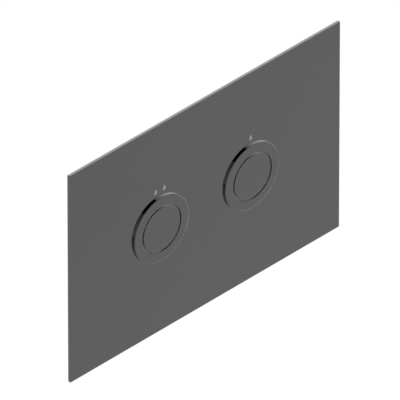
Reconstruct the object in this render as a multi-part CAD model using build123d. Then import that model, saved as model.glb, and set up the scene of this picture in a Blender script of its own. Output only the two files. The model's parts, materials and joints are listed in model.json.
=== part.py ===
from build123d import *
import math
import os

# Flush button plate for a concealed cistern, in millimetres.
# X runs right, Y into the wall and Z up. The origin is the middle of the plate on the wall's face.
# A depth is a value of Y: the room is at negative depths and the cistern at positive ones.

# Face plate
plate_width = 250.0
plate_height = 165.0
plate_thickness = 2.0
plate_corner_radius = 0.3
plate_edge_radius = 0.12

# Drop marks, sunk in the face plate above the buttons
drop_radius = 1.5
drop_height = 4.7
drop_depth = 0.2
drop_spacing = 8.0
drop_rise = 3.3
full_flush_drop_count = 2
half_flush_drop_count = 1

# Foam seal round the back of the plate
seal_thickness = 1.5
seal_width = 6.0
seal_inset = 4.0
seal_corner_radius = 2.0

# Buttons
button_spacing = 84.0
button_diameter = 33.7
button_edge_radius = 0.22
button_groove_width = 1.1
button_groove_depth = 0.8
button_running_clearance = 0.15
button_travel = 6.0
cap_thickness = 3.0
skirt_length = 4.0
skirt_wall = 2.0
cap_boss_length = 4.0
stop_gap = 0.3

# Bezels
ring_width = 7.05
ring_proud = 1.7
ring_edge_radius = 0.5
ring_mouth_radius = 0.22
barrel_wall = 3.05
barrel_chamfer = 0.6
hole_clearance = 0.2

# Washers and ring nuts behind the plate
washer_thickness = 1.0
washer_inset = 0.5
nut_thickness = 5.0
nut_wall = 5.95
nut_chamfer = 0.6
nut_slot_count = 6
nut_slot_width = 5.0
nut_slot_depth = 2.0
thread_clearance = 0.05

# Guide cups in the rear ends of the bezels
spigot_length = 4.2
spigot_wall = 2.8
spigot_clearance = 0.1
guide_flange_thickness = 2.0
guide_flange_inset = 0.2
guide_floor_thickness = 3.5
guide_boss_tail = 3.0
guide_rib_count = 6
guide_rib_width = 1.6
guide_rib_height = 1.8
guide_vent_count = 3
guide_vent_diameter = 3.4
guide_vent_angle = 30.0

# Plungers, with their retaining clips
plunger_diameter = 10.0
plunger_boss_wall = 2.0
plunger_seat_clearance = 0.03
plunger_running_clearance = 0.06
plunger_tail = 8.0
plunger_chamfer = 0.6
plunger_groove_depth = 0.8
plunger_clip_overlap = 3.0
clip_thickness = 1.0
clip_clearance = 0.05
clip_mouth_share = 0.9

# Return springs
spring_wire = 1.2
spring_turns = 3.5
spring_wire_sides = 6
spring_core_clearance = 0.4

# Push rods and their lock nuts
rod_diameter = 6.0
rod_engagement = 10.0
rod_socket_room = 1.0
rod_reach = 32.0
rod_foot_diameter = 11.0
rod_foot_thickness = 4.0
rod_foot_chamfer = 1.0
rod_foot_cone = 3.0
rod_chamfer = 0.6
lock_nut_across_flats = 10.0
lock_nut_thickness = 5.0
lock_nut_chamfer_angle = 30.0

# Mounting frame
window_room_side = 3.0
window_room_top = 15.0
window_corner_radius = 6.0
frame_band_side = 24.0
frame_band_top = 14.0
frame_corner_radius = 9.0
frame_wall = 2.2
frame_web = 2.5
frame_gap = 0.5
frame_tray_depth = 4.5
frame_outer_wall_tail = 6.5
frame_inner_wall_tail = 5.0
frame_rim_chamfer = 0.6
frame_rib_width = 1.8
frame_rib_count_top = 7
frame_rib_offset_side = 23.0

# Studs on the plate and the snap grommets that hold them in the frame
stud_diameter = 5.0
stud_groove_depth = 0.45
stud_groove_room = 0.1
stud_tip_length = 2.4
stud_tip_chamfer = 1.3
boss_wall = 2.25
boss_tail = 2.0
grommet_wall = 1.65
grommet_fit = 0.05
grommet_flange_width = 1.8
grommet_flange_thickness = 1.2
grommet_barb = 0.45
grommet_tail = 2.5
grommet_lip_length = 1.2
grommet_slot_width = 0.8
grommet_solid_length = 5.5

# Captive fixing bolts
bolt_thread_diameter = 6.0
bolt_shank_diameter = 8.4
bolt_thread_length = 21.0
bolt_end_chamfer = 0.8
bolt_slot_clearance = 0.2
bolt_slot_play = 4.2
bolt_head_diameter = 16.0
bolt_head_thickness = 3.5
bolt_head_chamfer = 0.5
bolt_drive_width = 2.0
bolt_drive_depth = 1.6
bolt_groove_depth = 0.7
bolt_shank_tail = 1.45
bolt_clip_overlap = 3.8
bolt_pad_margin = 3.6
bolt_pad_thickness = 2.0

# Depths of the plate and the rings
plate_back = -seal_thickness
plate_front = plate_back - plate_thickness
ring_front = plate_front - ring_proud

# Radii from the button outwards
cap_radius = button_diameter / 2
bore_radius = cap_radius + button_groove_width
skirt_radius = bore_radius - button_running_clearance
ring_radius = bore_radius + ring_width
barrel_radius = bore_radius + barrel_wall
hole_radius = barrel_radius + hole_clearance
nut_bore_radius = barrel_radius + thread_clearance
nut_radius = nut_bore_radius + nut_wall

# Radii from the plunger outwards
plunger_radius = plunger_diameter / 2
plunger_bearing_radius = plunger_radius + plunger_running_clearance
core_radius = plunger_radius + plunger_boss_wall
spring_radius = core_radius + spring_core_clearance + spring_wire / 2
rod_radius = rod_diameter / 2
rod_socket_radius = rod_radius + thread_clearance

# Depths along a button's axis, from front to back
groove_floor = ring_front + button_groove_depth
cap_back = ring_front + cap_thickness
skirt_end = cap_back + skirt_length
cap_boss_end = cap_back + cap_boss_length
guide_front = skirt_end + button_travel + stop_gap
guide_boss_front = cap_boss_end + button_travel + 2 * stop_gap
barrel_end = guide_front + spigot_length
guide_back = barrel_end + guide_flange_thickness
spring_seat = guide_back - guide_floor_thickness
guide_boss_end = guide_back + guide_boss_tail
plunger_clip_front = guide_boss_end + clip_clearance
plunger_end = plunger_clip_front + clip_thickness + clip_clearance + plunger_tail
rod_foot_front = plunger_end + rod_reach
rod_end = rod_foot_front + rod_foot_thickness

# Mounting frame, seen from the front
window_half_width = button_spacing / 2 + nut_radius + window_room_side
window_half_height = nut_radius + window_room_top
frame_half_width = window_half_width + frame_band_side
frame_half_height = window_half_height + frame_band_top
fixing_x = window_half_width + frame_band_side / 2
stud_z = window_half_height + frame_band_top / 2

# Depths of the mounting frame
frame_front = frame_gap
web_front = frame_front + frame_tray_depth
web_back = web_front + frame_web
outer_wall_back = web_back + frame_outer_wall_tail
inner_wall_back = web_back + frame_inner_wall_tail
boss_front = plate_back + grommet_flange_thickness
boss_back = web_back + boss_tail
pad_back = web_back + bolt_pad_thickness

# Studs and grommets
stud_radius = stud_diameter / 2
stud_groove_radius = stud_radius - stud_groove_depth
grommet_bore_radius = stud_radius + grommet_fit
grommet_radius = grommet_bore_radius + grommet_wall
grommet_end = boss_back + grommet_tail
grommet_lip_front = grommet_end - grommet_lip_length
stud_groove_front = grommet_lip_front - stud_groove_room
stud_groove_back = grommet_end + stud_groove_room
stud_end = stud_groove_back + stud_tip_length
boss_bore_radius = grommet_radius + grommet_fit
boss_radius = boss_bore_radius + boss_wall

# Fixing bolts
bolt_shank_radius = bolt_shank_diameter / 2
bolt_clip_front = pad_back + clip_clearance
bolt_groove_back = bolt_clip_front + clip_thickness + clip_clearance
bolt_shank_end = bolt_groove_back + bolt_shank_tail
bolt_end = bolt_shank_end + bolt_thread_length
bolt_slot_width = bolt_shank_diameter + 2 * bolt_slot_clearance
bolt_slot_length = bolt_slot_width + bolt_slot_play

# Each button's name, its place along X and the number of drops above it
buttons = (
    ("full_flush", -button_spacing / 2, full_flush_drop_count),
    ("half_flush", button_spacing / 2, half_flush_drop_count),
)
fixing_sides = (("left", -fixing_x), ("right", fixing_x))
stud_places = [(x, z) for x in (-fixing_x, fixing_x) for z in (-stud_z, stud_z)]


def slab(outline, front, back):
    """An outline drawn as seen from the front, X by Z, given a thickness from one depth to another."""
    return extrude(Plane.XZ.offset(-back) * outline, amount=back - front)


def turned(points, rounds=(), chamfers=()):
    """A body turned about Y from (radius, depth) points, with some of its corners rounded or chamfered."""
    profile = make_face(Polyline(*points, close=True))
    for radius, depth, size in rounds:
        corner = profile.vertices().sort_by_distance((radius, depth, 0))[0]
        profile = fillet(corner, size)
    for radius, depth, size in chamfers:
        corner = profile.vertices().sort_by_distance((radius, depth, 0))[0]
        profile = chamfer(corner, size)
    return revolve(profile, Axis.Y)


def tube(inner, outer, front, back):
    """A plain ring or tube about Y."""
    return slab(Circle(outer) - Circle(inner), front, back)


def drop_outline():
    """A drop: a round belly with straight sides that meet it in tangents and close at a point on top."""
    tip = drop_height - drop_radius
    turn = math.acos(drop_radius / tip)
    side = drop_radius * math.sin(turn)
    shoulder = drop_radius * math.cos(turn)
    belly = ThreePointArc((side, shoulder), (0, -drop_radius), (-side, shoulder))
    return make_face([Line((0, tip), (side, shoulder)), belly, Line((-side, shoulder), (0, tip))])


def face_plate():
    """The flat sheet, with a hole for each bezel and the drops sunk in its front."""
    plate = slab(RectangleRounded(plate_width, plate_height, plate_corner_radius), plate_front, plate_back)
    front_edges = plate.faces().sort_by(Axis.Y)[0].edges()
    plate = fillet(front_edges, plate_edge_radius)
    drop_z = ring_radius + drop_rise + drop_radius
    for _, x, drops in buttons:
        plate -= Pos(x, 0, 0) * slab(Circle(hole_radius), plate_front, plate_back)
        for place in range(drops):
            drop_x = x + (place - (drops - 1) / 2) * drop_spacing
            plate -= slab(Pos(drop_x, drop_z) * drop_outline(), plate_front, plate_front + drop_depth)
    return plate


def edge_seal():
    """The foam ring that lies between the plate's edge and the wall."""
    width = plate_width - 2 * seal_inset
    height = plate_height - 2 * seal_inset
    outer = RectangleRounded(width, height, seal_corner_radius)
    inner = Rectangle(width - 2 * seal_width, height - 2 * seal_width)
    return slab(outer - inner, plate_back, 0)


def bezel():
    """The turned ring: a flange in front of the plate and a threaded barrel through it."""
    points = [
        (bore_radius, ring_front),
        (ring_radius, ring_front),
        (ring_radius, plate_front),
        (barrel_radius, plate_front),
        (barrel_radius, barrel_end),
        (bore_radius, barrel_end),
    ]
    rounds = [
        (ring_radius, ring_front, ring_edge_radius),
        (bore_radius, ring_front, ring_mouth_radius),
    ]
    return turned(points, rounds, [(barrel_radius, barrel_end, barrel_chamfer)])


def washer():
    """The fibre washer between the plate and the ring nut."""
    return tube(hole_radius, nut_radius - washer_inset, plate_back, plate_back + washer_thickness)


def ring_nut():
    """The nut that clamps the bezel, with slots for a pin spanner round its rim."""
    front = plate_back + washer_thickness
    back = front + nut_thickness
    points = [
        (nut_bore_radius, front),
        (nut_radius, front),
        (nut_radius, back),
        (nut_bore_radius, back),
    ]
    nut = turned(points, chamfers=[(nut_radius, front, nut_chamfer), (nut_radius, back, nut_chamfer)])
    slot = slab(Rectangle(nut_slot_width, 2 * nut_slot_depth), front, back)
    for place in range(nut_slot_count):
        nut -= Rot(0, place * 360 / nut_slot_count, 0) * Pos(0, 0, nut_radius) * slot
    return nut


def guide():
    """The cup in the bezel's rear end: it carries the plunger, seats the spring and stops the skirt."""
    spigot_radius = bore_radius - spigot_clearance
    spigot_inner_radius = spigot_radius - spigot_wall
    flange_radius = barrel_radius - guide_flange_inset
    points = [
        (spigot_inner_radius, guide_front),
        (spigot_radius, guide_front),
        (spigot_radius, barrel_end),
        (flange_radius, barrel_end),
        (flange_radius, guide_back),
        (core_radius, guide_back),
        (core_radius, guide_boss_end),
        (plunger_bearing_radius, guide_boss_end),
        (plunger_bearing_radius, guide_boss_front),
        (core_radius, guide_boss_front),
        (core_radius, spring_seat),
        (spigot_inner_radius, spring_seat),
    ]
    cup = turned(points)
    rib_start = (plunger_bearing_radius + core_radius) / 2
    rib = Rectangle(spigot_inner_radius - rib_start, guide_rib_width, align=(Align.MIN, Align.CENTER))
    rib = slab(Pos(rib_start, 0) * rib, guide_back, guide_back + guide_rib_height)
    for place in range(guide_rib_count):
        cup += Rot(0, place * 360 / guide_rib_count, 0) * rib
    vent_place = (core_radius + spigot_inner_radius) / 2 + spring_wire
    vent = Pos(vent_place, 0, 0) * slab(Circle(guide_vent_diameter / 2), spring_seat, guide_back)
    for place in range(guide_vent_count):
        cup -= Rot(0, guide_vent_angle + place * 360 / guide_vent_count, 0) * vent
    return cup


def return_spring():
    """The return spring as it is fitted, with its ends ground flat on the cap and on the guide's floor.

    Its round wire is drawn with a few flat sides.
    """
    length = spring_seat - cap_back
    pitch = (length - spring_wire) / spring_turns
    spare = spring_wire / 2
    coil = Helix(
        pitch,
        length - spring_wire + 2 * spare,
        spring_radius,
        center=(0, cap_back + spring_wire / 2 - spare, 0),
        direction=(0, 1, 0),
    )
    section = Plane(coil @ 0, z_dir=coil % 0) * RegularPolygon(spring_wire / 2, spring_wire_sides)
    ground = slab(Circle(spring_radius + 2 * spring_wire), cap_back, spring_seat)
    return sweep(section, path=coil, is_frenet=True) & ground


def button():
    """The turned cap: a plain face with a groove turned round it, a skirt, and a boss that takes the plunger."""
    skirt_inner_radius = skirt_radius - skirt_wall
    seat_radius = plunger_radius + plunger_seat_clearance
    points = [
        (0, ring_front),
        (cap_radius, ring_front),
        (cap_radius, groove_floor),
        (skirt_radius, groove_floor),
        (skirt_radius, skirt_end),
        (skirt_inner_radius, skirt_end),
        (skirt_inner_radius, cap_back),
        (core_radius, cap_back),
        (core_radius, cap_boss_end),
        (seat_radius, cap_boss_end),
        (seat_radius, cap_back),
        (0, cap_back),
    ]
    return turned(points, [(cap_radius, ring_front, button_edge_radius)])


def plunger():
    """The stem, with a groove for its clip and a threaded socket for the push rod."""
    groove_radius = plunger_radius - plunger_groove_depth
    groove_front = plunger_clip_front - clip_clearance
    groove_back = plunger_clip_front + clip_thickness + clip_clearance
    socket_bottom = plunger_end - rod_engagement - rod_socket_room
    points = [
        (0, cap_back),
        (plunger_radius, cap_back),
        (plunger_radius, groove_front),
        (groove_radius, groove_front),
        (groove_radius, groove_back),
        (plunger_radius, groove_back),
        (plunger_radius, plunger_end),
        (rod_socket_radius, plunger_end),
        (rod_socket_radius, socket_bottom),
        (0, socket_bottom),
    ]
    return turned(points, chamfers=[(plunger_radius, plunger_end, plunger_chamfer)])


def retaining_clip(groove_radius, outer_radius, front):
    """A flat spring clip for a shaft groove, open on one side so that it can be pushed on."""
    inner_radius = groove_radius + clip_clearance
    mouth = Rectangle(2 * inner_radius * clip_mouth_share, outer_radius, align=(Align.CENTER, Align.MAX))
    outline = Circle(outer_radius) - Circle(inner_radius) - mouth
    return slab(outline, front, front + clip_thickness)


def push_rod():
    """The threaded rod, with a foot that presses the cistern's flush lever."""
    foot_radius = rod_foot_diameter / 2
    rod_front = plunger_end - rod_engagement
    points = [
        (0, rod_front),
        (rod_radius, rod_front),
        (rod_radius, rod_foot_front - rod_foot_cone),
        (foot_radius, rod_foot_front),
        (foot_radius, rod_end),
        (0, rod_end),
    ]
    chamfers = [
        (rod_radius, rod_front, rod_chamfer),
        (foot_radius, rod_end, rod_foot_chamfer),
    ]
    return turned(points, chamfers=chamfers)


def lock_nut():
    """The hexagon nut behind the plunger, with its corners turned off at both ends."""
    across_corners = lock_nut_across_flats / math.cos(math.radians(30))
    front = plunger_end
    back = front + lock_nut_thickness
    corner = across_corners / 2
    bevel_width = corner - lock_nut_across_flats / 2
    bevel = bevel_width * math.tan(math.radians(lock_nut_chamfer_angle))
    envelope = turned(
        [
            (rod_socket_radius, front),
            (corner - bevel_width, front),
            (corner, front + bevel),
            (corner, back - bevel),
            (corner - bevel_width, back),
            (rod_socket_radius, back),
        ]
    )
    return slab(RegularPolygon(corner, 6), front, back) & envelope


def mounting_frame():
    """The moulded frame: a web between an outer and an inner wall, with ribs, stud bosses and bolt pads."""
    outer = RectangleRounded(2 * frame_half_width, 2 * frame_half_height, frame_corner_radius)
    outer_inside = RectangleRounded(
        2 * (frame_half_width - frame_wall),
        2 * (frame_half_height - frame_wall),
        frame_corner_radius - frame_wall,
    )
    window = RectangleRounded(2 * window_half_width, 2 * window_half_height, window_corner_radius)
    window_outside = RectangleRounded(
        2 * (window_half_width + frame_wall),
        2 * (window_half_height + frame_wall),
        window_corner_radius + frame_wall,
    )
    outer_wall = slab(outer - outer_inside, frame_front, outer_wall_back)
    for rim in (outer_wall.faces().sort_by(Axis.Y)[0], outer_wall.faces().sort_by(Axis.Y)[-1]):
        outer_wall = chamfer(rim.outer_wire().edges(), frame_rim_chamfer)
    frame = slab(outer - window, web_front, web_back)
    frame += outer_wall
    frame += slab(window_outside - window, frame_front, inner_wall_back)
    frame += frame_ribs()
    for x, z in stud_places:
        boss = Pos(x, z) * Circle(boss_radius)
        frame += slab(boss & outer, boss_front, boss_back)
    for _, x in fixing_sides:
        pad = SlotOverall(bolt_slot_length + 2 * bolt_pad_margin, bolt_slot_width + 2 * bolt_pad_margin)
        frame += slab(Pos(x, 0) * pad, web_back, pad_back)
    for x, z in stud_places:
        frame -= slab(Pos(x, z) * Circle(boss_bore_radius), boss_front, boss_back)
    for _, x in fixing_sides:
        frame -= slab(Pos(x, 0) * SlotOverall(bolt_slot_length, bolt_slot_width), web_front, pad_back)
    return frame


def frame_ribs():
    """The ribs behind the web, across the top and bottom bands and across the two sides."""
    ribs = []
    top_rib = slab(Rectangle(frame_rib_width, frame_band_top - frame_wall), web_back, inner_wall_back)
    side_rib = slab(Rectangle(frame_band_side - frame_wall, frame_rib_width), web_back, inner_wall_back)
    step = 2 * window_half_width / (frame_rib_count_top - 1)
    for z in (-stud_z, stud_z):
        for place in range(frame_rib_count_top):
            ribs.append(Pos(-window_half_width + place * step, 0, z) * top_rib)
    for x in (-fixing_x, fixing_x):
        for z in (-frame_rib_offset_side, frame_rib_offset_side):
            ribs.append(Pos(x, 0, z) * side_rib)
    return ribs


def plate_stud():
    """A welded stud, with a groove near its tip for the grommet's lip."""
    points = [
        (0, plate_back),
        (stud_radius, plate_back),
        (stud_radius, stud_groove_front),
        (stud_groove_radius, stud_groove_front),
        (stud_groove_radius, stud_groove_back),
        (stud_radius, stud_groove_back),
        (stud_radius, stud_end),
        (0, stud_end),
    ]
    return turned(points, chamfers=[(stud_radius, stud_end, stud_tip_chamfer)])


def stud_grommet():
    """A split snap grommet: a flange under the plate, and fingers with a barb outside and a lip inside."""
    flange_radius = grommet_radius + grommet_flange_width
    lip_radius = stud_groove_radius + grommet_fit
    barb_front = boss_back + grommet_fit
    points = [
        (grommet_bore_radius, plate_back),
        (flange_radius, plate_back),
        (flange_radius, boss_front),
        (grommet_radius, boss_front),
        (grommet_radius, barb_front),
        (grommet_radius + grommet_barb, barb_front),
        (grommet_radius - grommet_barb, grommet_end),
        (lip_radius, grommet_end),
        (lip_radius, grommet_lip_front),
        (grommet_bore_radius, grommet_lip_front),
    ]
    split = Rectangle(grommet_slot_width, 2 * flange_radius)
    return turned(points) - slab(split, boss_front + grommet_solid_length, grommet_end)


def fixing_bolt():
    """The captive bolt: a slotted head in the frame's tray, a shank with a clip groove and a thread."""
    head_radius = bolt_head_diameter / 2
    head_front = web_front - bolt_head_thickness
    groove_radius = bolt_shank_radius - bolt_groove_depth
    groove_front = bolt_clip_front - clip_clearance
    thread_radius = bolt_thread_diameter / 2
    points = [
        (0, head_front),
        (head_radius, head_front),
        (head_radius, web_front),
        (bolt_shank_radius, web_front),
        (bolt_shank_radius, groove_front),
        (groove_radius, groove_front),
        (groove_radius, bolt_groove_back),
        (bolt_shank_radius, bolt_groove_back),
        (bolt_shank_radius, bolt_shank_end),
        (thread_radius, bolt_shank_end),
        (thread_radius, bolt_end),
        (0, bolt_end),
    ]
    chamfers = [
        (head_radius, head_front, bolt_head_chamfer),
        (thread_radius, bolt_end, bolt_end_chamfer),
    ]
    drive = slab(Rectangle(bolt_head_diameter, bolt_drive_width), head_front, head_front + bolt_drive_depth)
    return turned(points, chamfers=chamfers) - drive


def build():
    """Every piece in its place, under its node's name."""
    nodes = {
        "face_plate": face_plate(),
        "edge_seal": edge_seal(),
        "mounting_frame": mounting_frame(),
        "plate_studs": Compound([Pos(x, 0, z) * plate_stud() for x, z in stud_places]),
        "stud_grommets": Compound([Pos(x, 0, z) * stud_grommet() for x, z in stud_places]),
    }
    plunger_clip = retaining_clip(
        plunger_radius - plunger_groove_depth,
        plunger_radius + plunger_clip_overlap,
        plunger_clip_front,
    )
    bolt_clip = retaining_clip(
        bolt_shank_radius - bolt_groove_depth,
        bolt_shank_radius + bolt_clip_overlap,
        bolt_clip_front,
    )
    pieces = {
        "bezel": bezel(),
        "washer": washer(),
        "ring_nut": ring_nut(),
        "guide": guide(),
        "spring": return_spring(),
        "button": button(),
        "plunger": plunger(),
        "clip": plunger_clip,
        "push_rod": push_rod(),
        "lock_nut": lock_nut(),
    }
    for name, x, _ in buttons:
        for piece, shape in pieces.items():
            nodes[f"{name}_{piece}"] = Pos(x, 0, 0) * shape
    for side, x in fixing_sides:
        nodes[f"{side}_fixing_bolt"] = Pos(x, 0, 0) * fixing_bolt()
        nodes[f"{side}_bolt_clip"] = Pos(x, 0, 0) * bolt_clip
    return nodes


os.makedirs("parts", exist_ok=True)
for node, shape in build().items():
    export_step(shape, f"parts/{node}.step")
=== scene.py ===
import json
import math

import bpy
from mathutils import Matrix, Vector


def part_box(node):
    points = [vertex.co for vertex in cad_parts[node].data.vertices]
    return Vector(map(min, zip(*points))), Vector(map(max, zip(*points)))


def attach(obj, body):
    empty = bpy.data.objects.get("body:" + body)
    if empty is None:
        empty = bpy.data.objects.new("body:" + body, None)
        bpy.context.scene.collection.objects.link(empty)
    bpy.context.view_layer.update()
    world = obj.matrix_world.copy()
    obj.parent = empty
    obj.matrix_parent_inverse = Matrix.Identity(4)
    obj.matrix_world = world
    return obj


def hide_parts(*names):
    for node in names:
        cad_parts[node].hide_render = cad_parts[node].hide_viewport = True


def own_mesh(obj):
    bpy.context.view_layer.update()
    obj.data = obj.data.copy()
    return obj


# Looks for the flush button plate, in metres.
# X runs right, Y into the wall and Z up. The origin is the middle of the plate on the wall's face.

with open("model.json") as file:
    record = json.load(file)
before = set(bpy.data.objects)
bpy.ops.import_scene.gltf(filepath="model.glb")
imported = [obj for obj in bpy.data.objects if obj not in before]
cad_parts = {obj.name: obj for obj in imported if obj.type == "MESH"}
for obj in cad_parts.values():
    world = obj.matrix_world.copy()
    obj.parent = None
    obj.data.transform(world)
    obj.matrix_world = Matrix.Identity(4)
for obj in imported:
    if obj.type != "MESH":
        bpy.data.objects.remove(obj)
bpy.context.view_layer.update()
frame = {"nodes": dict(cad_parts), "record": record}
nodes = frame["nodes"]

# Camera: an isometric view through a long lens, from the left, the front and above
camera_view = Vector((1, 1, -1)).normalized()
camera_right = Vector((1, -1, 0)).normalized()
camera_up = Vector((1, 1, 2)).normalized()
camera_shift_right = -0.003633
camera_shift_up = 0.001161
camera_distance = 12.4
camera_near = 1.24
camera_far = 62.0
camera_sensor = 36.0
picture_width = 0.26213

# Studio and floor: their fill is their strength where neither the camera nor a reflection sees them
world_fill = 1.0
floor_size = 16.0
floor_drop = 1.0
floor_fill = 0.8
floor_glow_share = 0.9
floor_albedo = 0.98

# In reflections the floor's brightness rises by so much for each metre along X and Y
# The offset makes the rise 0 where the plate mirrors the floor to the camera, and a limit holds further off
floor_slope = (0.17, 0.354, 0)
floor_slope_offset = 0.198
floor_slope_limit = 0.05

# Softbox behind the plate, for its top edge
softbox_direction = Vector((1, 1, 1)).normalized()
softbox_distance = 1.0
softbox_width = 0.9
softbox_height = 0.7
softbox_radiance = 1.85

# Bright card on the floor at the right, for the rings' lower edges
# Each station along it has its X, its Y at both edges and its radiance
card_lift = 0.01
card_bounces = 1
card_stations = (
    (0.55, -0.45, 1.2, 1.9),
    (0.70, -0.50, 1.2, 1.8),
    (0.85, -0.55, 1.2, 2.4),
    (0.97, -0.60, 1.3, 2.6),
    (1.06, -0.61, 1.3, 3.4),
    (1.13, -0.63, 1.3, 3.8),
    (1.20, -0.65, 1.3, 2.0),
    (1.28, -0.68, 1.4, 1.3),
    (1.50, -0.80, 1.4, 1.4),
    (1.75, -1.25, 1.5, 1.7),
    (2.20, -1.70, 1.7, 2.1),
    (7.80, -4.50, 3.5, 2.3),
)

# Light band, along the directions that the ring walls and the plate together mirror to the camera
# Only a second bounce sees it, so the plate's own face never mirrors it in another view
# Each section has its start and end, as degrees round the plate from +X, and its radiance at both
band_bounces = 2
band_polar = math.acos(1 / math.sqrt(3))
band_distance = 3.0
band_half_breadth = 0.105
band_steps = 16
band_sections = (
    (-50, -28, 3.2, 3.2),
    (-28, -5, 4.0, 8.5),
    (-5, 15, 9.5, 14.0),
    (15, 35, 14.5, 13.0),
    (35, 50, 12.8, 10.3),
    (50, 66, 9.5, 4.2),
    (66, 124, 0.0, 0.0),
    (124, 150, 1.5, 2.2),
    (150, 175, 2.4, 2.9),
    (175, 200, 3.2, 3.3),
    (200, 222, 1.35, 1.8),
    (222, 255, 1.95, 1.65),
    (255, 290, 1.65, 0.95),
)

# Drop marks, in the recesses over the buttons
drop_radius = 0.0015
drop_height = 0.0047
drop_spacing = 0.008
drop_rise = 0.0033
drop_recess = 0.0002
drop_fill = 0.00015
drop_margin = 0.00002
drop_segments = 48
drop_counts = (2, 1)

# Return springs
spring_wire_diameter = 0.0012
spring_turns = 3.5
spring_end_turns = 0.75
spring_steps_per_turn = 40
spring_wire_sides = 12

# Threads: each is a ridge with three sides
thread_sides = 3
thread_run_out_turns = 0.5
thread_room = 0.0002
metric_thread_pitch = 0.001
metric_thread_height = 0.00012
metric_thread_steps_per_turn = 30
barrel_thread_pitch = 0.0015
barrel_thread_height = 0.00018
barrel_thread_steps_per_turn = 120
barrel_radius = 0.021
barrel_chamfer = 0.0006
rod_radius = 0.003
rod_plain_length = 0.009
bolt_thread_radius = 0.003
bolt_thread_length = 0.021
bolt_end_chamfer = 0.0008

# Noises: their scales below are in features per metre, and most of a noise lies between these two values
noise_low = 0.3
noise_high = 0.7

# Polished pieces: mirrors in front, duller in the grooves, and bare behind the plate
# A pair of tones or of roughnesses is what a noise runs between, here and in the finishes below
unpolished_margin = 0.00001
groove_margin = 0.0003
groove_reach = 0.02
groove_roughness = (0.096, 0.144)
polished_tones = ((0.101, 0.101, 0.101), (0.105, 0.105, 0.105))
polished_tone_scale = 9.0
polished_roughness = (0.03, 0.05)
polished_haze_scale = 60.0
bare_tones = ((0.10, 0.10, 0.10), (0.15, 0.15, 0.15))
bare_roughness = (0.26, 0.40)

# Marks of the lathe and of the rolling mill
machining_depth = 0.000004
turning_scale = 9000.0
rolling_scales = (40, 40, 5000)

# Other metals
steel_tones = ((0.46, 0.46, 0.47), (0.58, 0.58, 0.59))
steel_roughness = (0.176, 0.264)
brass_tones = ((0.60, 0.41, 0.15), (0.72, 0.52, 0.21))
brass_roughness = (0.192, 0.288)
spring_tones = ((0.30, 0.31, 0.33), (0.42, 0.43, 0.45))
spring_roughness = (0.25, 0.38)
spring_mottle_scale = 900.0

# Plastics
plastic_tone_scale = 120.0
plastic_grain_scale = 5000.0
white_tones = ((0.72, 0.72, 0.70), (0.78, 0.78, 0.76))
white_roughness = (0.3825, 0.5175)
white_grain = 0.000006
grey_tones = ((0.15, 0.155, 0.16), (0.18, 0.185, 0.19))
grey_roughness = (0.425, 0.575)
grey_grain = 0.000012

# Fibre, foam and enamel
fibre_tones = ((0.20, 0.045, 0.03), (0.36, 0.10, 0.065))
fibre_fleck_scale = 2200.0
fibre_fleck_depth = 0.00003
fibre_roughness = 0.8
foam_tones = ((0.012, 0.012, 0.013), (0.05, 0.05, 0.052))
foam_cell_scale = 2600.0
foam_cell_depth = 0.0001
foam_roughness = 0.9
enamel_tones = ((0.255, 0.265, 0.272), (0.275, 0.285, 0.292))
enamel_tone_scale = 1500.0
enamel_roughness = 0.55
enamel_specular = 0.2

plate_low, plate_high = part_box("face_plate")
unpolished_depth = plate_high.y - unpolished_margin
groove_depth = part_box("full_flush_bezel")[0].y + groove_margin
plate_middle = Vector((0, plate_low.y, 0))
floor_height = plate_low.z - floor_drop
button_names = ("full_flush", "half_flush")
fixing_sides = ("left", "right")


def middle(node):
    """The middle of a node's box."""
    low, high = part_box(node)
    return (low + high) / 2


# Materials


def start_material(name):
    """A new material, with its principled shader and the piece's coordinates as a socket."""
    material = bpy.data.materials.new(name)
    material.use_nodes = True
    tree = material.node_tree
    surface = tree.nodes["Principled BSDF"]
    place = tree.nodes.new("ShaderNodeTexCoord").outputs["Object"]
    return material, tree, surface, place


def noise(tree, place, scale, detail=3.0):
    """A noise between 0 and 1, as a socket."""
    node = tree.nodes.new("ShaderNodeTexNoise")
    node.inputs["Scale"].default_value = scale
    node.inputs["Detail"].default_value = detail
    tree.links.new(place, node.inputs["Vector"])
    return node.outputs["Fac"]


def spread(tree, value, ends):
    """A noise stretched so that most of it runs between two ends, as a socket."""
    low, high = ends
    node = tree.nodes.new("ShaderNodeMapRange")
    node.inputs["From Min"].default_value = noise_low
    node.inputs["From Max"].default_value = noise_high
    node.inputs["To Min"].default_value = low
    node.inputs["To Max"].default_value = high
    tree.links.new(value, node.inputs["Value"])
    return node.outputs["Result"]


def blend_tones(tree, value, tones):
    """A mix of a dark and a light tone by a value, as a socket."""
    dark, light = tones
    node = tree.nodes.new("ShaderNodeMix")
    node.data_type = "RGBA"
    node.inputs["A"].default_value = (*dark, 1)
    node.inputs["B"].default_value = (*light, 1)
    tree.links.new(value, node.inputs["Factor"])
    return node.outputs["Result"]


def choose(tree, kind, switch, first, second):
    """The first of two sockets of a kind where the switch is 0 and the second where it is 1."""
    node = tree.nodes.new("ShaderNodeMix")
    node.data_type = kind
    tree.links.new(first, node.inputs["A"])
    tree.links.new(second, node.inputs["B"])
    tree.links.new(switch, node.inputs["Factor"])
    return node.outputs["Result"]


def arithmetic(tree, operation, value, other):
    """A value socket combined with a number or another socket, as a socket."""
    node = tree.nodes.new("ShaderNodeMath")
    node.operation = operation
    tree.links.new(value, node.inputs[0])
    if isinstance(other, float):
        node.inputs[1].default_value = other
    else:
        tree.links.new(other, node.inputs[1])
    return node.outputs["Value"]


def relief(tree, surface, height, depth):
    """Roughens the surface with a height between 0 and 1, of that depth in metres."""
    node = tree.nodes.new("ShaderNodeBump")
    node.inputs["Distance"].default_value = depth
    tree.links.new(height, node.inputs["Height"])
    tree.links.new(node.outputs["Normal"], surface.inputs["Normal"])


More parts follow.
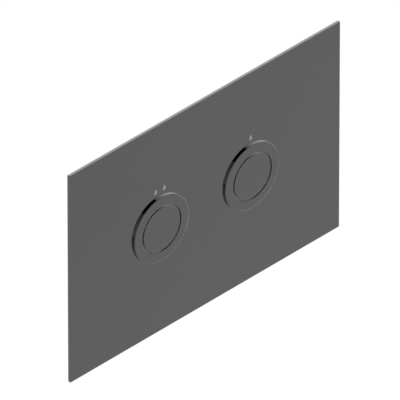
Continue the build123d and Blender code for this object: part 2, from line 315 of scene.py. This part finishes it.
def separate(tree, place):
    """A node with the three coordinates as sockets."""
    split = tree.nodes.new("ShaderNodeSeparateXYZ")
    tree.links.new(place, split.inputs["Vector"])
    return split


def lathe_radius(tree, split, axis_x):
    """The distance from a lathe axis at plus or minus axis_x, as a socket."""
    side = tree.nodes.new("ShaderNodeMath")
    side.operation = "ABSOLUTE"
    tree.links.new(split.outputs["X"], side.inputs[0])
    flat = tree.nodes.new("ShaderNodeCombineXYZ")
    tree.links.new(arithmetic(tree, "SUBTRACT", side.outputs["Value"], axis_x), flat.inputs["X"])
    tree.links.new(split.outputs["Z"], flat.inputs["Y"])
    radius = tree.nodes.new("ShaderNodeVectorMath")
    radius.operation = "LENGTH"
    tree.links.new(flat.outputs["Vector"], radius.inputs[0])
    return radius.outputs["Value"]


def turning_marks(tree, place, axis_x):
    """Fine rings about a lathe axis at plus or minus axis_x, as a noise of radius and depth."""
    split = separate(tree, place)
    rings = tree.nodes.new("ShaderNodeCombineXYZ")
    tree.links.new(lathe_radius(tree, split, axis_x), rings.inputs["X"])
    tree.links.new(split.outputs["Y"], rings.inputs["Y"])
    return noise(tree, rings.outputs["Vector"], turning_scale, detail=2.0)


def rolling_grain(tree, place):
    """The long fine streaks of rolled sheet, along X."""
    stretch = tree.nodes.new("ShaderNodeVectorMath")
    stretch.operation = "MULTIPLY"
    stretch.inputs[1].default_value = rolling_scales
    tree.links.new(place, stretch.inputs[0])
    return noise(tree, stretch.outputs["Vector"], 1.0)


def polished_metal(name, axis_x, grain):
    """Dark grey metal: a mirror with a trace of haze in front, and the grain of its making behind the plate.

    In the grooves round the buttons, at plus or minus axis_x, the polish is duller.
    The grain is a function that gives its marks as a noise.
    """
    material, tree, surface, place = start_material(name)
    split = separate(tree, place)
    behind = arithmetic(tree, "GREATER_THAN", split.outputs["Y"], unpolished_depth)
    near = arithmetic(tree, "LESS_THAN", lathe_radius(tree, split, axis_x), groove_reach)
    deep = arithmetic(tree, "GREATER_THAN", split.outputs["Y"], groove_depth)
    in_groove = arithmetic(tree, "MULTIPLY", near, deep)
    marks = grain(tree, place)
    polished = blend_tones(tree, noise(tree, place, polished_tone_scale), polished_tones)
    bare = blend_tones(tree, marks, bare_tones)
    tree.links.new(choose(tree, "RGBA", behind, polished, bare), surface.inputs["Base Color"])
    haze = spread(tree, noise(tree, place, polished_haze_scale), polished_roughness)
    dull = spread(tree, marks, groove_roughness)
    front = choose(tree, "FLOAT", in_groove, haze, dull)
    back = spread(tree, marks, bare_roughness)
    tree.links.new(choose(tree, "FLOAT", behind, front, back), surface.inputs["Roughness"])
    relief(tree, surface, arithmetic(tree, "MULTIPLY", marks, behind), machining_depth)
    surface.inputs["Metallic"].default_value = 1.0
    return material


def turned_metal(name, axis_x, tones, roughness):
    """Metal from the lathe, with fine rings about its axis."""
    material, tree, surface, place = start_material(name)
    marks = turning_marks(tree, place, axis_x)
    tree.links.new(blend_tones(tree, marks, tones), surface.inputs["Base Color"])
    tree.links.new(spread(tree, marks, roughness), surface.inputs["Roughness"])
    relief(tree, surface, marks, machining_depth)
    surface.inputs["Metallic"].default_value = 1.0
    return material


def drawn_steel():
    """Spring steel, drawn or stamped, with a faint blue-grey mottle."""
    material, tree, surface, place = start_material("spring_steel_look")
    mottle = noise(tree, place, spring_mottle_scale)
    tree.links.new(blend_tones(tree, mottle, spring_tones), surface.inputs["Base Color"])
    tree.links.new(spread(tree, mottle, spring_roughness), surface.inputs["Roughness"])
    surface.inputs["Metallic"].default_value = 1.0
    return material


def moulded_plastic(name, tones, roughness, grain_depth):
    """Moulded plastic with a slight unevenness of colour and a fine grain."""
    material, tree, surface, place = start_material(name)
    tone = noise(tree, place, plastic_tone_scale)
    tree.links.new(blend_tones(tree, tone, tones), surface.inputs["Base Color"])
    grain = noise(tree, place, plastic_grain_scale, detail=1.0)
    tree.links.new(spread(tree, grain, roughness), surface.inputs["Roughness"])
    relief(tree, surface, grain, grain_depth)
    return material


def pressed_fibre():
    """Red-brown fibre board with short flecks."""
    material, tree, surface, place = start_material("fibre_washer_look")
    flecks = noise(tree, place, fibre_fleck_scale, detail=5.0)
    tree.links.new(blend_tones(tree, flecks, fibre_tones), surface.inputs["Base Color"])
    surface.inputs["Roughness"].default_value = fibre_roughness
    relief(tree, surface, flecks, fibre_fleck_depth)
    return material


def closed_cell_foam():
    """Black foam with small closed cells."""
    material, tree, surface, place = start_material("foam_seal_look")
    cells = tree.nodes.new("ShaderNodeTexVoronoi")
    cells.inputs["Scale"].default_value = foam_cell_scale
    tree.links.new(place, cells.inputs["Vector"])
    tree.links.new(blend_tones(tree, cells.outputs["Distance"], foam_tones), surface.inputs["Base Color"])
    surface.inputs["Roughness"].default_value = foam_roughness
    relief(tree, surface, cells.outputs["Distance"], foam_cell_depth)
    return material


def enamel():
    """The pale grey filling of the drop marks."""
    material, tree, surface, place = start_material("drop_enamel_look")
    tone = noise(tree, place, enamel_tone_scale)
    tree.links.new(blend_tones(tree, tone, enamel_tones), surface.inputs["Base Color"])
    surface.inputs["Roughness"].default_value = enamel_roughness
    surface.inputs["Specular IOR Level"].default_value = enamel_specular
    return material


def dress_nodes():
    """Gives every CAD node its look: its material slot's, or one of its own."""
    button_axis = middle("half_flush_button").x
    bolt_axis = middle("right_fixing_bolt").x

    def lathe_grain(tree, place):
        """Turning marks about the buttons' axes."""
        return turning_marks(tree, place, button_axis)

    looks = {
        "dark_polished_metal": polished_metal("dark_polished_metal_look", button_axis, lathe_grain),
        "stainless_steel": turned_metal("stainless_steel_look", button_axis, steel_tones, steel_roughness),
        "spring_steel": drawn_steel(),
        "brass": turned_metal("brass_look", button_axis, brass_tones, brass_roughness),
        "white_moulding": moulded_plastic("white_moulding_look", white_tones, white_roughness, white_grain),
        "grey_moulding": moulded_plastic("grey_moulding_look", grey_tones, grey_roughness, grey_grain),
        "fibre_washer": pressed_fibre(),
        "foam_seal": closed_cell_foam(),
        "drop_enamel": enamel(),
        "bolt_steel": turned_metal("bolt_steel_look", bolt_axis, steel_tones, steel_roughness),
        "sheet_metal": polished_metal("sheet_metal_look", button_axis, rolling_grain),
    }
    own_looks = {
        "face_plate": "sheet_metal",
        "plate_studs": "bolt_steel",
        "left_fixing_bolt": "bolt_steel",
        "right_fixing_bolt": "bolt_steel",
    }
    for subpart in frame["record"]["subparts"]:
        mesh = nodes[subpart["node"]].data
        mesh.materials.clear()
        mesh.materials.append(looks[own_looks.get(subpart["node"], subpart["material_slot"])])
    return looks


# Pieces


def add_mesh(name, points, faces, material, body):
    """A mesh piece that rides on a body."""
    mesh = bpy.data.meshes.new(name)
    mesh.from_pydata(points, [], faces)
    mesh.materials.append(material)
    piece = bpy.data.objects.new(name, mesh)
    bpy.context.scene.collection.objects.link(piece)
    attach(piece, body)
    return piece


def drop_points():
    """Points round a drop, seen from the front: a round belly and two straight sides to the tip."""
    radius = drop_radius - drop_margin
    tip = drop_height - drop_radius - drop_margin
    turn = math.acos(radius / tip)
    points = [(0.0, tip)]
    for step in range(drop_segments + 1):
        angle = math.pi / 2 + turn + (2 * math.pi - 2 * turn) * step / drop_segments
        points.append((radius * math.cos(angle), radius * math.sin(angle)))
    return points


def add_drop(name, x, z, material):
    """The filling of one drop mark, a little below the plate's face."""
    outline = drop_points()
    back = plate_low.y + drop_recess
    front = back - drop_fill
    points = []
    for depth in (front, back):
        points += [(x + across, depth, z + up) for across, up in outline]
    count = len(outline)
    faces = [list(range(count)), list(range(2 * count - 1, count - 1, -1))]
    for corner in range(count):
        after = (corner + 1) % count
        faces.append([corner, corner + count, after + count, after])
    return add_mesh(name, points, faces, material, "plate")


def add_drops(look):
    """The filled drop marks over both buttons."""
    for name, drops in zip(button_names, drop_counts):
        x = middle(f"{name}_button").x
        drop_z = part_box(f"{name}_bezel")[1].z + drop_rise + drop_radius
        for place in range(drops):
            drop_x = x + (place - (drops - 1) / 2) * drop_spacing
            add_drop(f"{name}_drop_{place + 1}", drop_x, drop_z, look)


def tube_faces(rings, sides):
    """Faces of a closed tube through a row of rings, each with the same number of points."""
    faces = []
    for ring in range(rings - 1):
        here = ring * sides
        there = here + sides
        for side in range(sides):
            after = (side + 1) % sides
            faces.append([here + side, here + after, there + after, there + side])
    faces.append(list(range(sides - 1, -1, -1)))
    faces.append([(rings - 1) * sides + side for side in range(sides)])
    return faces


def add_spring(name, material):
    """The round-wire return spring, closed at both ends."""
    node = f"{name}_spring"
    low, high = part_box(node)
    axis_x = (low.x + high.x) / 2
    wire = spring_wire_diameter / 2
    mean_radius = (high.x - low.x) / 2 - wire
    turns = spring_turns + 2 * spring_end_turns
    rise = (high.y - low.y - 2 * wire) - 2 * spring_end_turns * spring_wire_diameter
    steps = round(turns * spring_steps_per_turn)
    points = []
    for step in range(steps + 1):
        turn = turns * step / steps
        ground = min(turn, spring_end_turns) + max(0.0, turn - spring_end_turns - spring_turns)
        free = turn - ground
        depth = low.y + wire + ground * spring_wire_diameter + free * rise / spring_turns
        angle = 2 * math.pi * turn
        for side in range(spring_wire_sides):
            around = 2 * math.pi * side / spring_wire_sides
            radius = mean_radius + wire * math.cos(around)
            y = depth + wire * math.sin(around)
            points.append((axis_x + radius * math.cos(angle), y, radius * math.sin(angle)))
    faces = tube_faces(steps + 1, spring_wire_sides)
    piece = add_mesh(f"{name}_coil", points, faces, material, "plate")
    piece.data.shade_smooth()
    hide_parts(node)
    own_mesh(piece)


def add_thread(name, axis_x, radius, form, ends, material, body):
    """A screw thread: one ridge wound round a cylinder about Y, which fades out at both ends.

    The form is its pitch, height and steps per turn, and the ends are where it starts and stops along Y.
    """
    pitch, height, steps_per_turn = form
    start, end = ends
    turns = (end - start) / pitch - 1
    steps = round(turns * steps_per_turn)
    points = []
    for step in range(steps + 1):
        turn = turns * step / steps
        crest = height * min(1.0, turn / thread_run_out_turns, (turns - turn) / thread_run_out_turns)
        angle = 2 * math.pi * turn
        for out, along in ((-height, 0.0), (crest, pitch / 2), (-height, pitch)):
            reach = radius + out
            y = start + turn * pitch + along
            points.append((axis_x + reach * math.cos(angle), y, reach * math.sin(angle)))
    faces = tube_faces(steps + 1, thread_sides)
    return add_mesh(name, points, faces, material, body)


def add_threads(looks):
    """The threads that show: on the bezels' barrels, the push rods and the fixing bolts."""
    barrel_form = (barrel_thread_pitch, barrel_thread_height, barrel_thread_steps_per_turn)
    metric_form = (metric_thread_pitch, metric_thread_height, metric_thread_steps_per_turn)
    for name in button_names:
        axis_x = middle(f"{name}_button").x
        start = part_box(f"{name}_ring_nut")[1].y + thread_room
        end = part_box(f"{name}_bezel")[1].y - barrel_chamfer
        add_thread(
            f"{name}_barrel_thread", axis_x, barrel_radius, barrel_form, (start, end),
            looks["dark_polished_metal"], "plate",
        )
        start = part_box(f"{name}_lock_nut")[1].y + thread_room
        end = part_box(f"{name}_push_rod")[1].y - rod_plain_length
        add_thread(
            f"{name}_rod_thread", axis_x, rod_radius, metric_form, (start, end),
            looks["white_moulding"], f"{name}_push",
        )
    for side in fixing_sides:
        axis_x = middle(f"{side}_fixing_bolt").x
        bolt_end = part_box(f"{side}_fixing_bolt")[1].y
        start = bolt_end - bolt_thread_length + thread_room
        end = bolt_end - bolt_end_chamfer
        add_thread(
            f"{side}_bolt_thread", axis_x, bolt_thread_radius, metric_form, (start, end),
            looks["bolt_steel"], "plate",
        )


# Stage


def glow_where_seen(tree, fill):
    """Strength 1 where the camera or a reflection sees a surface, and the fill elsewhere, as a socket."""
    path = tree.nodes.new("ShaderNodeLightPath")
    seen = path.outputs["Is Camera Ray"]
    for ray in ("Is Glossy Ray", "Is Transmission Ray"):
        seen = arithmetic(tree, "MAXIMUM", seen, path.outputs[ray])
    strength = tree.nodes.new("ShaderNodeMapRange")
    strength.inputs["To Min"].default_value = fill
    strength.inputs["To Max"].default_value = 1.0
    tree.links.new(seen, strength.inputs["Value"])
    return strength.outputs["Result"]


def reflected_slope(tree):
    """How much brighter or darker than 1 the floor is in reflections, as a socket."""
    slope = tree.nodes.new("ShaderNodeVectorMath")
    slope.operation = "DOT_PRODUCT"
    slope.inputs[1].default_value = floor_slope
    place = tree.nodes.new("ShaderNodeTexCoord").outputs["Object"]
    tree.links.new(place, slope.inputs[0])
    rise = arithmetic(tree, "ADD", slope.outputs["Value"], floor_slope_offset)
    rise = arithmetic(tree, "MAXIMUM", rise, -floor_slope_limit)
    rise = arithmetic(tree, "MINIMUM", rise, floor_slope_limit)
    reflected = tree.nodes.new("ShaderNodeLightPath").outputs["Is Glossy Ray"]
    return arithmetic(tree, "MULTIPLY", rise, reflected)


def start_stage_material(name):
    """A new material with no shader yet, and its node tree."""
    material = bpy.data.materials.new(name)
    material.use_nodes = True
    tree = material.node_tree
    tree.nodes.remove(tree.nodes["Principled BSDF"])
    return material, tree


def mix_shaders(tree, share, first, second):
    """A mix of two shaders by the share of the second, a number or a socket."""
    node = tree.nodes.new("ShaderNodeMixShader")
    if isinstance(share, float):
        node.inputs["Fac"].default_value = share
    else:
        tree.links.new(share, node.inputs["Fac"])
    tree.links.new(first, node.inputs[1])
    tree.links.new(second, node.inputs[2])
    return node.outputs["Shader"]


def floor_look():
    """White paint with a glow, clear from below."""
    material, tree = start_stage_material("floor_look")
    paint = tree.nodes.new("ShaderNodeBsdfDiffuse")
    paint.inputs["Color"].default_value = (floor_albedo, floor_albedo, floor_albedo, 1)
    glow = tree.nodes.new("ShaderNodeEmission")
    strength = arithmetic(tree, "ADD", glow_where_seen(tree, floor_fill), reflected_slope(tree))
    tree.links.new(strength, glow.inputs["Strength"])
    above = mix_shaders(tree, floor_glow_share, paint.outputs["BSDF"], glow.outputs["Emission"])
    below = tree.nodes.new("ShaderNodeBsdfTransparent").outputs["BSDF"]
    underside = tree.nodes.new("ShaderNodeNewGeometry").outputs["Backfacing"]
    both = mix_shaders(tree, underside, above, below)
    tree.links.new(both, tree.nodes["Material Output"].inputs["Surface"])
    return material


def card_look(name, least_bounces):
    """A glow of each point's radiance for rays that have bounced that often or more, and clear to others."""
    material, tree = start_stage_material(name)
    strength = tree.nodes.new("ShaderNodeAttribute")
    strength.attribute_name = "radiance"
    glow = tree.nodes.new("ShaderNodeEmission")
    tree.links.new(strength.outputs["Fac"], glow.inputs["Strength"])
    clear = tree.nodes.new("ShaderNodeBsdfTransparent")
    bounces = tree.nodes.new("ShaderNodeLightPath").outputs["Ray Depth"]
    enough = arithmetic(tree, "GREATER_THAN", bounces, least_bounces - 0.5)
    both = mix_shaders(tree, enough, clear.outputs["BSDF"], glow.outputs["Emission"])
    tree.links.new(both, tree.nodes["Material Output"].inputs["Surface"])
    return material


def looking(place, way):
    """The matrix of a lamp or camera that stands at a place and looks that way."""
    turn = way.to_track_quat("-Z", "Y").to_matrix().to_4x4()
    return Matrix.Translation(place) @ turn


def add_world():
    """An even white studio round the object."""
    world = bpy.data.worlds.new("studio")
    world.use_nodes = True
    background = world.node_tree.nodes["Background"]
    background.inputs["Color"].default_value = (1, 1, 1, 1)
    strength = glow_where_seen(world.node_tree, world_fill)
    world.node_tree.links.new(strength, background.inputs["Strength"])
    bpy.context.scene.world = world


def add_floor():
    """A plain white floor well below the object, as bright as the white of the picture."""
    half = floor_size / 2
    corners = [(-half, -half), (half, -half), (half, half), (-half, half)]
    mesh = bpy.data.meshes.new("floor")
    mesh.from_pydata([(x, y, floor_height) for x, y in corners], [], [[0, 1, 2, 3]])
    mesh.materials.append(floor_look())
    floor = bpy.data.objects.new("floor", mesh)
    bpy.context.scene.collection.objects.link(floor)


def add_softbox():
    """A soft rectangular lamp of an even brightness, which reflections see as it is."""
    lamp = bpy.data.lights.new("back_softbox", "AREA")
    lamp.shape = "RECTANGLE"
    lamp.size = softbox_width
    lamp.size_y = softbox_height
    lamp.energy = softbox_radiance * math.pi * softbox_width * softbox_height
    softbox = bpy.data.objects.new("back_softbox", lamp)
    bpy.context.scene.collection.objects.link(softbox)
    softbox.matrix_world = looking(plate_middle + softbox_distance * softbox_direction, -softbox_direction)
    softbox.visible_camera = False


def add_card(name, points, faces, radiances, least_bounces):
    """A card that reflections see from that many bounces on, with a radiance at each of its points."""
    mesh = bpy.data.meshes.new(name)
    mesh.from_pydata(points, [], faces)
    mesh.attributes.new("radiance", "FLOAT", "POINT").data.foreach_set("value", radiances)
    mesh.materials.append(card_look(f"{name}_look", least_bounces))
    card = bpy.data.objects.new(name, mesh)
    bpy.context.scene.collection.objects.link(card)
    card.visible_camera = False
    card.visible_diffuse = False
    card.visible_transmission = False
    card.visible_shadow = False


def add_floor_card():
    """The bright card on the floor."""
    height = floor_height + card_lift
    points = []
    faces = []
    radiances = []
    for x, near_y, far_y, radiance in card_stations:
        if points:
            last = len(points)
            faces.append([last - 2, last, last + 1, last - 1])
        points += [(x, near_y, height), (x, far_y, height)]
        radiances += [radiance] * 2
    add_card("floor_card", points, faces, radiances, card_bounces)


def band_points(clock):
    """The two edges of the light band at a clock angle, as far away as the floor allows."""
    fall = -math.sin(band_polar) * math.sin(clock)
    reach = band_distance
    if fall > 0:
        reach = min(reach, -floor_height / fall - band_half_breadth)
    spread_angle = band_half_breadth / reach
    points = []
    for polar in (band_polar - spread_angle, band_polar + spread_angle):
        across = math.sin(polar)
        way = Vector((across * math.cos(clock), -math.cos(polar), across * math.sin(clock)))
        points.append(plate_middle + way * reach)
    return points


def add_light_band():
    """The thin bent band of light and dark round the plate's axis."""
    points = []
    faces = []
    radiances = []
    for start, end, start_radiance, end_radiance in band_sections:
        for step in range(band_steps + 1):
            share = step / band_steps
            if step:
                last = len(points)
                faces.append([last - 2, last - 1, last + 1, last])
            points += band_points(math.radians(start + (end - start) * share))
            radiances += [start_radiance + (end_radiance - start_radiance) * share] * 2
    add_card("light_band", points, faces, radiances, band_bounces)


def add_stage():
    """The white studio, the floor, the softbox and the cards."""
    add_world()
    add_floor()
    add_softbox()
    add_floor_card()
    add_light_band()


def add_camera():
    """The camera, far away and with a long lens."""
    lens = bpy.data.cameras.new("camera")
    lens.sensor_width = camera_sensor
    lens.lens = camera_sensor * camera_distance / picture_width
    lens.clip_start = camera_near
    lens.clip_end = camera_far
    camera = bpy.data.objects.new("camera", lens)
    bpy.context.scene.collection.objects.link(camera)
    aim = plate_middle + camera_shift_right * camera_right + camera_shift_up * camera_up
    camera.matrix_world = looking(aim - camera_distance * camera_view, camera_view)
    bpy.context.scene.camera = camera


looks = dress_nodes()
add_drops(looks["drop_enamel"])
for name in button_names:
    add_spring(name, looks["spring_steel"])
add_threads(looks)
add_stage()
add_camera()
bpy.context.scene.view_settings.view_transform = "Standard"
